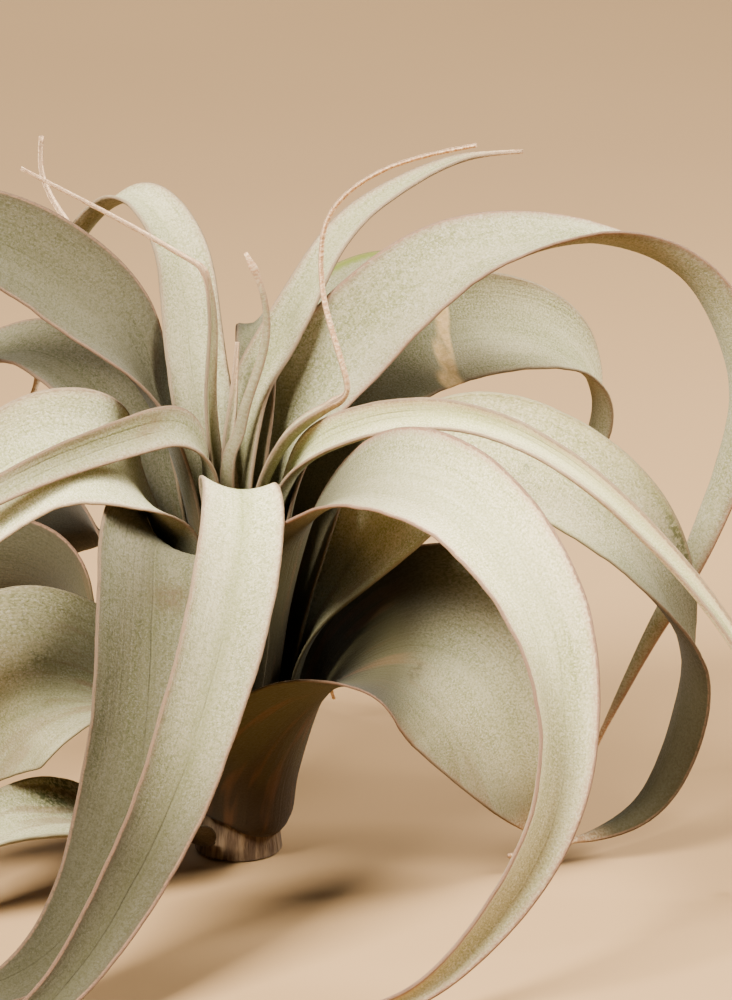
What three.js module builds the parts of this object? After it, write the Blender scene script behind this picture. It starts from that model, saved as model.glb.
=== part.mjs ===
// Air plant (Tillandsia xerographica): a funnel of silvery ribbon leaves wrapped one inside the
// other round a short stem, each leaf rising, arching over and curling down towards the ground.
// Millimetres, +Z up. The origin is the middle of the flat foot of the stem.
import * as THREE from 'three';

// Driving dimensions, mm
const STEM_HEIGHT = 60;
const STEM_FOOT_RADIUS = 9;
const STEM_TOP_RADIUS = 2;
const STEM_SIDES = 32;
const STEM_RINGS = 12;
const LEAF_THICKNESS = 1.0;
const EDGE_THICKNESS = 0.65;
const BASE_CLEARANCE = 0.85; // stem surface to the middle of a leaf base
const HEEL_SHARE = 0.3; // heel of a leaf, as a share of the way from its base to its first station
const HEEL_FLARE = 0.8; // how far the lowest heel stands out from that straight way
const TIP_HALF_WIDTH = 0.5;
const SECTIONS = 26; // steps along a leaf
const CELLS = 2; // facets across each half of a leaf
const SPAN_STEPS = 24; // curve samples between two stations

// Leaves from the lowest and outermost to the innermost.
//   azimuth  direction the leaf grows, degrees about +Z from +X
//   height   where its base joins the stem
//   width    widest part of the ribbon
//   stations midrib points [outwards, sideways, up, roll in degrees]
// Optional: base (share of the width at the base), peak and dry (where the ribbon is widest and
// where the dried tip starts, as shares of the length), power (how late it tapers), thread (half
// width of the dried tip), gutter (half angle of the channel, degrees, near base and further
// out), open (where the sheath opens into the channel), fold (0 round, 1 sharp crease), cells,
// thick and heel (flare of its own).
const LEAVES = [
  // low, left and front, along the ground
  {
    azimuth: 217, height: 3, width: 29,
    base: 0.34,
    stations: [
      [16, 0, 7.5], [25, 0, 9], [35, 0, 12.5, -8], [46, 0, 15.5, -15], [57, 0, 16, -15],
      [68, 0, 12.5, -8], [80, 0, 4.5],
    ],
  },
  // low, back
  {
    azimuth: 85, height: 5, width: 26,
    stations: [
      [17, 0, 15], [28, 0, 26], [43, 0, 31], [58, 0, 27], [71, 0, 17], [84, 0, 7], [98, 0, 3],
    ],
  },
  // right and front, wide, faces forwards
  {
    azimuth: 320, height: 5, width: 50,
    base: 0.45, peak: 0.16, power: 3.9, gutter: [56, 24], open: [0.02, 0.28], cells: 3,
    stations: [
      [12, 0, 16, 2], [16, 1, 28, 12], [23, 4.5, 39.5, 28], [34.5, 11, 47.3, 50],
      [45.5, 15.8, 45.3, 66], [53, 19.3, 35.5, 75], [56.5, 22.3, 22.5, 74],
      [55.8, 25.2, 11, 66], [51, 27, 3.2, 50],
    ],
  },
  // low, left
  {
    azimuth: 152, height: 9.5, width: 34,
    base: 0.38, peak: 0.4, power: 2,
    stations: [
      [16, 0, 20], [23, -1, 28], [32, -3.5, 35.8, 18], [42, -4.5, 43, 42], [53, -3, 47.5, 58],
      [66, 0, 45, 58], [77, 2, 35, 45], [85, 3, 22, 25], [92, 6, 9, 10],
    ],
  },
  // low, back right
  {
    azimuth: 90, height: 12, width: 22,
    base: 0.35,
    stations: [
      [13, 0, 21], [16.5, 0, 30.5], [21.5, 0, 41], [29, -1, 50], [39.5, -4, 54], [50, -7, 52],
      [60.5, -10, 44], [67.5, -13, 32], [72.5, -16, 18], [77.5, -19, 5],
    ],
  },
  // left and front, wide, faces forwards
  {
    azimuth: 200, height: 12, width: 46,
    base: 0.36, peak: 0.16, power: 3.2, gutter: [68, 30], open: [0.1, 0.35], cells: 3,
    stations: [
      [12.5, 0, 20], [17, 1, 28], [24, 1.5, 34, -2], [34, 1, 38.5, -18], [46, 0, 39.5, -46],
      [56, -1, 33, -62], [62, -3, 21, -62], [63, -7, 9, -45],
    ],
  },
  // right, long loop ending on the ground
  {
    azimuth: 18, height: 16.5, width: 24,
    power: 3,
    stations: [
      [11, 0, 28], [13.2, 0, 40], [18.5, -1, 51.5, 5], [26, -4, 63, 20], [34, -8, 75, 40],
      [46, -11, 83, 50], [60, -17, 80, 50], [72, -23, 70, 38], [81, -28, 55, 5],
      [86, -29, 39, -28], [83, -30, 22, -48], [75, -31, 10, -56], [60.5, -31, 4.8, -56],
      [47.5, -31, 3.5, -40],
    ],
  },
  // back left, arching out behind the low left one
  {
    azimuth: 138, height: 19, width: 31,
    base: 0.35, power: 2,
    stations: [
      [14, 0, 35], [20, 0, 47], [28, 0, 55, 14], [40, 0, 59, 35], [55, 0, 56, 45],
      [69, 0, 46, 35], [80, 0, 31, 15], [90, -4, 14], [102, -8, 3],
    ],
  },
  // front left, broad, folded over
  {
    azimuth: 243, height: 21, width: 31,
    base: 0.4, power: 2.4, gutter: [58, 40], open: [0.2, 0.4],
    stations: [
      [13, 0, 42], [18.5, 0, 62, -5], [25, -1, 70, -25], [33, 2.5, 64, -25], [42, 7, 52, -22],
      [52, 11, 38.5, -15], [65, 12.5, 24], [79, 11, 12.5], [93, 6, 6.5], [105, -3, 4.5],
      [114, -15, 3.5],
    ],
  },
  // back right, hooked over
  {
    azimuth: 49, height: 23.5, width: 31,
    base: 0.38, power: 2, open: [0.1, 0.35],
    stations: [
      [13.7, 0, 48], [18.8, 0, 69], [28, -2, 86.3, 6], [45, -5, 97.4, 40], [60, -11, 100.2, 50],
      [74, -17, 97.4, 40], [84, -22, 90, 20], [88, -23, 77.5], [86, -18, 64], [80, -12, 54],
      [70, -8, 52],
    ],
  },
  // left, behind
  {
    azimuth: 160, height: 26, width: 22,
    stations: [
      [11.5, 0, 46], [17, -1, 66], [24, -3, 83, -10], [35, -6, 94, -30], [47, -9, 98, -30],
      [60, -11, 95, -30], [73, -12, 86, -20], [84, -12, 72], [90, -10, 52], [93, -6, 30],
      [98, 0, 12], [108, 6, 3],
    ],
  },
  // right and front, broad arch to the ground
  {
    azimuth: 315, height: 28.5, width: 23,
    base: 0.45, power: 2, gutter: [42, 57], open: [0.1, 0.35], cells: 3,
    stations: [
      [10.3, 0, 50], [14, 0.3, 66], [21, 0.6, 74, 18], [35, 0.6, 83.6, 31], [53, 1, 86.5, 43],
      [69, 1, 81, 35], [82, 0, 68, 20], [89, -3, 54, 5], [93, -8, 40], [93, -16, 26],
      [90, -26, 14], [85, -38, 5], [77, -51, 3], [68, -62, 3],
    ],
  },
  // back right, tall and narrow
  {
    azimuth: 73, height: 31, width: 15,
    base: 0.4, open: [0.15, 0.35],
    stations: [
      [10.8, 0, 54], [13, 0, 72], [18, -1, 90], [28.5, -3, 101], [41, -7, 108.5],
      [53, -13, 112], [61, -20, 111], [67, -27, 105], [70, -31, 95],
    ],
  },
  // left, broad arch
  {
    azimuth: 203, height: 33, width: 27,
    base: 0.5, open: [0.1, 0.35],
    stations: [
      [10, 0, 52], [15, 1, 65], [20, 2.5, 76.3, -5], [28.5, 5, 86, -36], [40, 5.5, 89, -48],
      [52, 6, 84.3, -50], [64, 6, 73.5, -38], [77, 6, 57, -15], [86, 5, 41], [92, 3, 24],
      [98, 0, 8], [108, -3, 3],
    ],
  },
  // right, tallest arch, long ribbon end
  {
    azimuth: 31, height: 35.5, width: 20,
    base: 0.42, dry: 0.98, power: 1.5,
    stations: [
      [8.8, 0, 56], [12, 0, 76], [17.5, 0, 91, 20], [26, 0, 102, 45], [37, -3, 112, 40],
      [49, -6, 118.5, 25], [62, -11, 121.5, 5], [75.5, -16, 121.5, -15],
      [87.5, -21, 117.5, -28], [97, -25, 109, -36], [103, -27, 96, -40], [104, -28, 84, -42],
      [101, -26, 69, -42], [96, -22, 51, -42], [90, -16, 33, -40], [83, -9, 9, -35],
    ],
  },
  // back left, thin upright tip
  {
    azimuth: 138, height: 38, width: 12,
    base: 0.27, dry: 0.75, thread: 0.7, heel: 0.5,
    stations: [
      [8.6, 0, 58], [11.8, 0, 74], [20, 0, 94], [31, 0, 109], [41, 0, 119], [49, 0, 126],
      [54, 0, 133], [54, 0, 141],
    ],
  },
  // left, tall broad arch
  {
    azimuth: 175, height: 40.5, width: 22,
    base: 0.27, open: [0.15, 0.35],
    stations: [
      [7.6, 0, 60], [11, 0, 79], [17, 0, 95], [25, -1, 109, -35], [37, -1, 120, -55],
      [48, 0.5, 126, -50], [60, 3, 128, -40], [73, 4, 123, -25], [83, 5.5, 108, -10],
      [88, 6, 88], [88, 7, 68], [84, 9.5, 50], [88, 13, 30], [98, 17, 14], [112, 16, 4],
    ],
  },
  // right, narrow creased band
  {
    azimuth: 352, height: 42.5, width: 10,
    base: 0.4, gutter: [70, 85], fold: 0.5,
    stations: [
      [7.5, 0, 62], [10.6, 0, 76], [19, -4, 87, 25], [35, -7.5, 93.5, 40], [50, -9.5, 93.5, 40],
      [65.5, -12.5, 88, 40], [82, -15, 75, 30], [100, -16, 54, 20], [111, -16, 30],
      [113, -14, 12], [103, -10, 4],
    ],
  },
  // back left, tall hook
  {
    azimuth: 119, height: 45, width: 14,
    base: 0.3, power: 2.2, open: [0.15, 0.35],
    stations: [
      [5.95, 0, 56], [7, 0.5, 68], [9.8, 1.5, 84], [14, 2, 98], [19, 1, 110], [26, 0, 121],
      [36, 2, 128], [46, 5, 126], [55, 9, 116], [59, 13, 102], [60, 16, 88], [64, 20, 76],
    ],
  },
  // front, folded straight over
  {
    azimuth: 270, height: 47, width: 17.4,
    base: 0.28, peak: 0.3, dry: 0.97, power: 2.2, gutter: [38, 50], heel: 0.6,
    stations: [
      [6.5, 0, 62], [9.2, 0.4, 71], [14.3, 0.7, 79.3], [21.5, 1.9, 79], [33, 1.4, 71.3],
      [46, -1, 60], [57, -5, 47.5], [67, -10.2, 34.5], [77, -17, 22.5], [87, -24.5, 12.5],
      [97, -33, 6], [106, -44, 4], [112, -58, 3.5],
    ],
  },
  // back, short arch
  {
    azimuth: 67, height: 48.5, width: 10,
    base: 0.24, peak: 0.4, open: [0.2, 0.4], thick: 0.9,
    stations: [
      [5.1, 0, 66], [6.5, 0, 80], [10.8, 0, 93], [17.5, 3, 102], [27, 8, 103.5], [36, 11, 99],
      [43, 13, 90], [46, 14, 79],
    ],
  },
  // left, narrow band over the broad one
  {
    azimuth: 203, height: 50, width: 9,
    base: 0.25, thick: 0.9, heel: 0.4,
    stations: [
      [5.2, 0, 65], [6.3, 1, 76], [8, 3, 85, -15], [14, 5, 91.2, -40], [24, 7.5, 91.5, -50],
      [36, 9, 89.3, -50], [49, 11.5, 86, -40], [64, 12, 79.5, -20], [79, 11, 70], [91, 11, 54],
    ],
  },
  // inner, thread tip to the left
  {
    azimuth: 157, height: 52, width: 5.1,
    base: 0.3, dry: 0.62, power: 2.4, thread: 0.55, thick: 0.8,
    stations: [
      [3.6, 0, 64], [4.1, -0.2, 76], [5.9, -0.9, 88], [6.4, -1.6, 98], [6, -2.3, 108],
      [6.3, -2.2, 115.5], [7.3, -1.8, 120], [10.5, -0.3, 122.6], [18.1, 3.5, 127.8],
      [28.2, 8.2, 134], [39.2, 13.4, 140.6],
    ],
  },
  // inner, creased, thread tip upwards
  {
    azimuth: 350, height: 54, width: 6.5,
    base: 0.35, dry: 0.4, power: 3, thread: 0.7, gutter: [60, 60], fold: 0.3, thick: 0.9,
    stations: [
      [3.8, 0, 64], [4.9, 0, 72], [7.5, -1, 80], [13, -2, 88.7], [20.5, -2.8, 95],
      [23.4, -3.2, 98.2], [23, -4, 102.5], [21, -5, 110], [19, -5, 118.5], [19, -6, 128],
      [22, -6, 136], [32, -3, 143], [48, 1, 147],
    ],
  },
  // inner, long, to the back right
  {
    azimuth: 57, height: 56, width: 9.6,
    base: 0.25, peak: 0.4, open: [0.22, 0.42], thick: 0.9,
    stations: [
      [2.9, 0, 64], [3.7, 0.4, 78], [7.8, 1, 93], [12.2, 0, 100.5, 10], [18, -2, 108, 10],
      [26, -4, 118], [34, -7, 126], [45, -12, 132], [58, -18, 136], [71, -24, 136],
    ],
  },
  // inner, upright
  {
    azimuth: 250, height: 58, width: 3.2,
    base: 0.55, dry: 0.95, power: 0.7, thread: 0.4, thick: 0.75,
    stations: [
      [2.5, 0, 64], [2.1, -0.9, 80], [-0.2, 0.5, 87], [-1.8, 2, 94], [-4, 5.2, 106],
      [-3.8, 4.5, 117], [-2.7, 1.7, 124],
    ],
  },
  // innermost, upright
  {
    azimuth: 125, height: 60, width: 3.8,
    base: 0.3, dry: 0.85, thick: 0.8,
    stations: [
      [1.6, 0, 66], [1.7, 0, 72], [2.3, 0.2, 80], [3, -0.5, 87], [3.7, -2.2, 94],
      [4.3, -3.8, 105],
    ],
  },
];

const SHAPE = {
  base: 0.5,
  peak: 0.25,
  dry: 0.93,
  power: 1.5,
  thread: TIP_HALF_WIDTH,
  gutter: [30, 45],
  open: [0.04, 0.3],
  fold: 0,
  cells: CELLS,
  thick: LEAF_THICKNESS,
};

const UP = new THREE.Vector3(0, 0, 1);

function radians(degrees) {
  return (degrees * Math.PI) / 180;
}

function smooth(from, to, x) {
  const t = Math.min(Math.max((x - from) / (to - from), 0), 1);
  return t * t * (3 - 2 * t);
}

function stemRadius(z) {
  const t = Math.min(Math.max(z / STEM_HEIGHT, 0), 1);
  return STEM_FOOT_RADIUS + (STEM_TOP_RADIUS - STEM_FOOT_RADIUS) * t;
}

// Smooth curve of evenly bending spans through every station.
function curveThrough(stations) {
  const count = stations.length;
  const size = stations[0].length;
  const control = stations.map((s) => s.slice());
  for (let pass = 0; pass < 40; pass++) {
    for (let i = 1; i < count - 1; i++) {
      for (let k = 0; k < size; k++) {
        control[i][k] = (6 * stations[i][k] - control[i - 1][k] - control[i + 1][k]) / 4;
      }
    }
  }
  const before = control[0].map((x, k) => 2 * x - control[1][k]);
  const after = control[count - 1].map((x, k) => 2 * x - control[count - 2][k]);
  const p = [before, ...control, after];
  const samples = [];
  for (let i = 0; i < count - 1; i++) {
    for (let step = 0; step < SPAN_STEPS; step++) {
      const t = step / SPAN_STEPS;
      const w0 = (1 - t) ** 3 / 6;
      const w1 = (3 * t ** 3 - 6 * t * t + 4) / 6;
      const w2 = (-3 * t ** 3 + 3 * t * t + 3 * t + 1) / 6;
      const w3 = t ** 3 / 6;
      const [p0, p1, p2, p3] = p.slice(i, i + 4);
      samples.push(p0.map((x, k) => w0 * x + w1 * p1[k] + w2 * p2[k] + w3 * p3[k]));
    }
  }
  samples.push(stations[count - 1].slice());
  return samples;
}

// Midrib of a leaf with a frame that does not spin about it.
function midrib(leaf) {
  const angle = radians(leaf.azimuth);
  const out = new THREE.Vector3(Math.cos(angle), Math.sin(angle), 0);
  const side = new THREE.Vector3(-Math.sin(angle), Math.cos(angle), 0);
  const start = stemRadius(leaf.height) + BASE_CLEARANCE;
  const heel = leaf.heel ?? HEEL_FLARE * (1 - leaf.height / STEM_HEIGHT);
  const [firstOut, , firstUp] = leaf.stations[0];
  const heelOut = start + HEEL_SHARE * (firstOut - start) + heel;
  const heelUp = leaf.height + HEEL_SHARE * (firstUp - leaf.height);
  const stations = [
    [start, 0, leaf.height, 0],
    [heelOut, 0, heelUp, 0],
    ...leaf.stations.map((s) => [s[0], s[1], s[2], s[3] ?? 0]),
  ];
  const samples = curveThrough(stations);
  const points = [];
  for (const s of samples) {
    const point = out.clone().multiplyScalar(s[0]);
    points.push(point.addScaledVector(side, s[1]).addScaledVector(UP, s[2]));
  }
  const along = [0];
  for (let i = 1; i < points.length; i++) {
    along.push(along[i - 1] + points[i].distanceTo(points[i - 1]));
  }
  const tangents = [];
  for (let i = 0; i < points.length; i++) {
    const a = points[Math.max(i - 1, 0)];
    const b = points[Math.min(i + 1, points.length - 1)];
    tangents.push(b.clone().sub(a).normalize());
  }
  const across = [];
  let last = side.clone();
  for (const t of tangents) {
    last = last.clone().addScaledVector(t, -last.dot(t)).normalize();
    across.push(last);
  }
  return { points, tangents, across, rolls: samples.map((s) => s[3]), along };
}

// Place, directions and roll a share u of the way along the midrib.
function frameAt(rib, u) {
  const goal = u * rib.along[rib.along.length - 1];
  let i = 0;
  while (i < rib.along.length - 2 && rib.along[i + 1] < goal) {
    i++;
  }
  const f = (goal - rib.along[i]) / (rib.along[i + 1] - rib.along[i]);
  const centre = rib.points[i].clone().lerp(rib.points[i + 1], f);
  const t = rib.tangents[i].clone().lerp(rib.tangents[i + 1], f).normalize();
  const b = rib.across[i].clone().lerp(rib.across[i + 1], f);
  b.addScaledVector(t, -b.dot(t)).normalize();
  const n = new THREE.Vector3().crossVectors(t, b);
  const roll = radians(rib.rolls[i] + (rib.rolls[i + 1] - rib.rolls[i]) * f);
  const across = b.clone().multiplyScalar(Math.cos(roll)).addScaledVector(n, Math.sin(roll));
  const inner = n.clone().multiplyScalar(Math.cos(roll)).addScaledVector(b, -Math.sin(roll));
  return { centre, across, inner };
}

function halfWidth(shape, u) {
  const full = shape.width / 2;
  if (u < shape.peak) {
    return full * (shape.base + (1 - shape.base) * Math.sin(((u / shape.peak) * Math.PI) / 2));
  }
  if (u < shape.dry) {
    const t = (u - shape.peak) / (shape.dry - shape.peak);
    return shape.thread + (full - shape.thread) * (1 - t ** shape.power);
  }
  return shape.thread * (1 - (0.4 * (u - shape.dry)) / (1 - shape.dry));
}

// Half angle of the cross section: wrapped round the stem axis first, then an open channel.
function halfAngle(shape, u, width, distance) {
  const sheath = Math.min(width / distance, 1.9);
  const channel = shape.gutter[0] + (shape.gutter[1] - shape.gutter[0]) * smooth(0.2, 0.6, u);
  const opened = smooth(shape.open[0], shape.open[1], u);
  return sheath * (1 - opened) + radians(channel) * opened;
}

// Points across one half of the section, from the midrib to the edge.
function halfSection(width, angle, fold, cells) {
  const fine = 12;
  const points = [[0, 0, 0]];
  let x = 0;
  let y = 0;
  let turn = 0;
  for (let i = 1; i <= cells * fine; i++) {
    const next = angle * (i / (cells * fine)) ** (1 - fold);
    const step = width / (cells * fine);
    x += ((Math.cos(turn) + Math.cos(next)) / 2) * step;
    y += ((Math.sin(turn) + Math.sin(next)) / 2) * step;
    turn = next;
    if (i % fine === 0) {
      points.push([x, y, turn]);
    }
  }
  return points;
}

// One ring of points round the leaf: inner face from edge to edge, then the outer face back.
function ringAt(shape, rib, u) {
  const { centre, across, inner } = frameAt(rib, u);
  const width = halfWidth(shape, u);
  const angle = halfAngle(shape, u, width, Math.hypot(centre.x, centre.y));
  const half = halfSection(width, angle, shape.fold * smooth(0.1, 0.4, u), shape.cells);
  const upper = [];
  const lower = [];
  for (let j = -shape.cells; j <= shape.cells; j++) {
    const sign = j < 0 ? -1 : 1;
    const [x, y, turn] = half[Math.abs(j)];
    const middle = centre.clone().addScaledVector(across, sign * x).addScaledVector(inner, y);
    const normal = inner.clone().multiplyScalar(Math.cos(turn));
    normal.addScaledVector(across, -sign * Math.sin(turn));
    const edge = Math.abs(j) / shape.cells;
    const thick = EDGE_THICKNESS + (shape.thick - EDGE_THICKNESS) * (1 - edge ** 4);
    upper.push(middle.clone().addScaledVector(normal, thick / 2));
    lower.unshift(middle.clone().addScaledVector(normal, -thick / 2));
  }
  return [...upper, ...lower];
}

function leafGeometry(leaf) {
  const shape = { ...SHAPE, ...leaf };
  const rib = midrib(leaf);
  const rows = 2 * shape.cells + 1;
  const around = 2 * rows;
  const positions = [];
  for (let i = 0; i <= SECTIONS; i++) {
    for (const p of ringAt(shape, rib, i / SECTIONS)) {
      positions.push(p.x, p.y, p.z);
    }
  }
  const index = [];
  for (let i = 0; i < SECTIONS; i++) {
    const a = i * around;
    const b = a + around;
    for (let j = 0; j < rows - 1; j++) {
      const k = around - 1 - j;
      index.push(a + j, b + j + 1, a + j + 1, a + j, b + j, b + j + 1);
      index.push(a + k, a + k - 1, b + k - 1, a + k, b + k - 1, b + k);
    }
    index.push(a + rows - 1, b + rows, a + rows, a + rows - 1, b + rows - 1, b + rows);
    index.push(a + around - 1, b, a, a + around - 1, b + around - 1, b);
  }
  const end = SECTIONS * around;
  for (let j = 0; j < rows - 1; j++) {
    const k = around - 1 - j;
    index.push(j, j + 1, k - 1, j, k - 1, k);
    index.push(end + j, end + k - 1, end + j + 1, end + j, end + k, end + k - 1);
  }
  const geometry = new THREE.BufferGeometry();
  geometry.setAttribute('position', new THREE.Float32BufferAttribute(positions, 3));
  geometry.setIndex(index);
  geometry.computeVertexNormals();
  return geometry;
}

function stemGeometry() {
  const outline = [new THREE.Vector2(0, 0)];
  for (let i = 0; i <= STEM_RINGS; i++) {
    const z = (STEM_HEIGHT * i) / STEM_RINGS;
    outline.push(new THREE.Vector2(stemRadius(z), z));
  }
  outline.push(new THREE.Vector2(0, STEM_HEIGHT));
  const geometry = new THREE.LatheGeometry(outline, STEM_SIDES);
  geometry.rotateX(Math.PI / 2);
  return geometry;
}

const leafSurface = new THREE.MeshStandardMaterial({ color: 0xaab09a, roughness: 0.85, metalness: 0 });
const stemSurface = new THREE.MeshStandardMaterial({ color: 0x6f5a40, roughness: 0.9, metalness: 0 });

const plant = new THREE.Group();
plant.name = 'air_plant';

const stem = new THREE.Mesh(stemGeometry(), stemSurface);
stem.name = 'stem';
plant.add(stem);

LEAVES.forEach((leaf, number) => {
  const mesh = new THREE.Mesh(leafGeometry(leaf), leafSurface);
  mesh.name = `leaf_${String(number + 1).padStart(2, '0')}`;
  plant.add(mesh);
});

export default plant;
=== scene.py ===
import math
import random
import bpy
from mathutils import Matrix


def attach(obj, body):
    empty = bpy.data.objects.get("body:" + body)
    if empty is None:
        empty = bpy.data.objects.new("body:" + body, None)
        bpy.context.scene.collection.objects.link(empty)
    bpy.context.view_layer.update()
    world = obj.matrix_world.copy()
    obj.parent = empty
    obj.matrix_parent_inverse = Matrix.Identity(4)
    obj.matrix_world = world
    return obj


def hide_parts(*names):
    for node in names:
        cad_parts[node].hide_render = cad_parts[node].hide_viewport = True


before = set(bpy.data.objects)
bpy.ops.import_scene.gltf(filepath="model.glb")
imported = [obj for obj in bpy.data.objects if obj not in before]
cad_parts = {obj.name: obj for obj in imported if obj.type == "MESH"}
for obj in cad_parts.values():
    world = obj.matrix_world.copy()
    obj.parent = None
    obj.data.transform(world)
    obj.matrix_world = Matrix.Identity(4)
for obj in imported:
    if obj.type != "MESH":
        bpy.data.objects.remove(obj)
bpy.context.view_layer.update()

from types import SimpleNamespace

import bpy
import numpy as np
from mathutils import Vector

MM = 0.001

# Stem and leaf bases, mm, as in the solid model.
STEM_HEIGHT = 60.0
STEM_FOOT_RADIUS = 9.0
STEM_TOP_RADIUS = 2.0
BASE_CLEARANCE = 0.85
HEEL_SHARE = 0.3
HEEL_FLARE = 0.8
SHEATH_LIMIT = 1.9  # widest half angle of a leaf wrapped round the stem, radians
EDGE_THICKNESS = 0.62
THREAD_TAPER = 0.4  # share of its width that a dried thread loses to its end

# How finely a midrib and a ribbon are divided. Lengths in mm.
SPLINE_ROUNDS = 40
SPAN_STEPS = 24
ROW_LENGTH = 1.05
ROWS = (70, 250)  # fewest and most along a leaf
CELL_WIDTH = 1.25
CELLS = (3, 10)  # fewest and most from the midrib to a margin
CELL_STEPS = 6
EDGE_CROWDING = 0.97 * math.pi / 2

# Forms too fine for the solids, mm: height and length of each wave, then the midrib's groove.
LONG_WAVE = (0.30, 47)
SIDE_WAVE = (0.22, 31)
RIPPLE = (0.16, 9)
MIDRIB_GROOVE = 0.14
MIDRIB_WIDTH = 0.7

# The scar across a blade, mm: its bow and crook, then how wide its ridge and groove are.
SCAR_BOW = 2.2
SCAR_CROOK = (0.8, 9)
SCAR_RIDGE = 1.5
SCAR_GROOVE = 1.8
SCAR_GROOVE_BEFORE = 3.2
SCAR_GROOVE_DEPTH = 0.7  # share of the ridge's height
SCAR_REACH = 0.75  # share of the half width

# Dried tips, knots and margins. Lengths in mm, the rest as shares of the thickness.
DRIED_HALF = 9.0  # half the stretch over which a blade turns into its dried tip
DRIED_WAVE = 5.0
DRIED_SHRINK = 0.16
KNOT_LENGTH = 1.6
KNOT_STAIN = 3.0
RIM_SHARE = 0.42

# Where the rosette is deep enough for painted shade and for olive and brown stains, mm.
FUNNEL_HEIGHT = 62.0
FUNNEL_DEPTH = 30.0
FUNNEL_RADIUS = 12.0
FUNNEL_SPREAD = 24.0

# Linear colours of the leaves.
SAGE = ((0.38, 0.40, 0.15), (0.50, 0.49, 0.23))
SILVER = ((0.88, 0.82, 0.50), (0.86, 0.75, 0.47))
PIT = (0.22, 0.225, 0.10)
FLECK = (0.97, 0.90, 0.66)
CREASE_SHADE = (0.34, 0.36, 0.12)
CREASE_LINE = (0.19, 0.205, 0.09)
RUST = (0.36, 0.20, 0.09)
SCUFF_GREEN = (0.09, 0.13, 0.035)
BLUSH = (0.62, 0.37, 0.26)
LIME = (0.42, 0.52, 0.06)
# A bare blade and a thick coating also stand in for light: nearly black is painted shade, near white
# painted highlight.
BARE_BLADE_AND_SHADE = (0.022, 0.017, 0.006)
THICK_COAT_AND_LIGHT = (0.95, 0.89, 0.68)
RIM_BROWN = (0.24, 0.125, 0.075)
# Olive and brown deep in the rosette: partly the sheaths' own colour, partly painted shade.
OLIVE_AND_SHADE = (0.055, 0.048, 0.016)
BROWN_AND_SHADE = (0.03, 0.016, 0.007)
STAIN = (0.12, 0.05, 0.018)
SCAR_SKIN = ((0.76, 0.52, 0.25), (0.60, 0.40, 0.16))
DRIED = ((0.54, 0.30, 0.155), (0.82, 0.60, 0.38))
DRIED_DARK = (0.36, 0.19, 0.09)

# Linear colours of the stem and the floor.
FIBRE = ((0.085, 0.048, 0.024), (0.21, 0.135, 0.07))
FIBRE_DARK = (0.05, 0.03, 0.018)
FLOOR = ((0.34, 0.203, 0.086), (0.35, 0.211, 0.09))

# Widths of the lines on a leaf, mm.
CREASE_HALF = 0.3
CREASE_HALO = 3.2
RIM_WIDTH = 0.45
BROWN_LENGTH = 34.0
LEAF_BUMP = 0.00022  # metres
STEM_BUMP = 0.0006  # metres

# Studio, metres and watts.
FLOOR_HALF = 3.0
FLOOR_DROP = 0.0003
PLANT_MIDDLE = (0.02, 0, 0.07)
LAMPS = (  # name, place, aim, size, power
    ("key", (-0.47, -0.54, 0.85), PLANT_MIDDLE, (0.42, 0.42), 60.0),
    ("side", (0.80, 0.10, 0.72), PLANT_MIDDLE, (0.42, 0.42), 30.0),
    ("backdrop", (0.0, 1.5, 0.75), (0, 1.5, 0), (3.4, 1.0), 34.0),
)
WARM = (1.0, 0.95, 0.86)
AMBIENT = (1.0, 0.9, 0.78)
AMBIENT_STRENGTH = 0.04
CAMERA_TARGET = Vector((0.0262, 0.0, 0.0739))
CAMERA_ELEVATION = math.radians(16)
CAMERA_DISTANCE = 0.7
CAMERA_SENSOR = 36
CAMERA_LENS = 126
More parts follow.
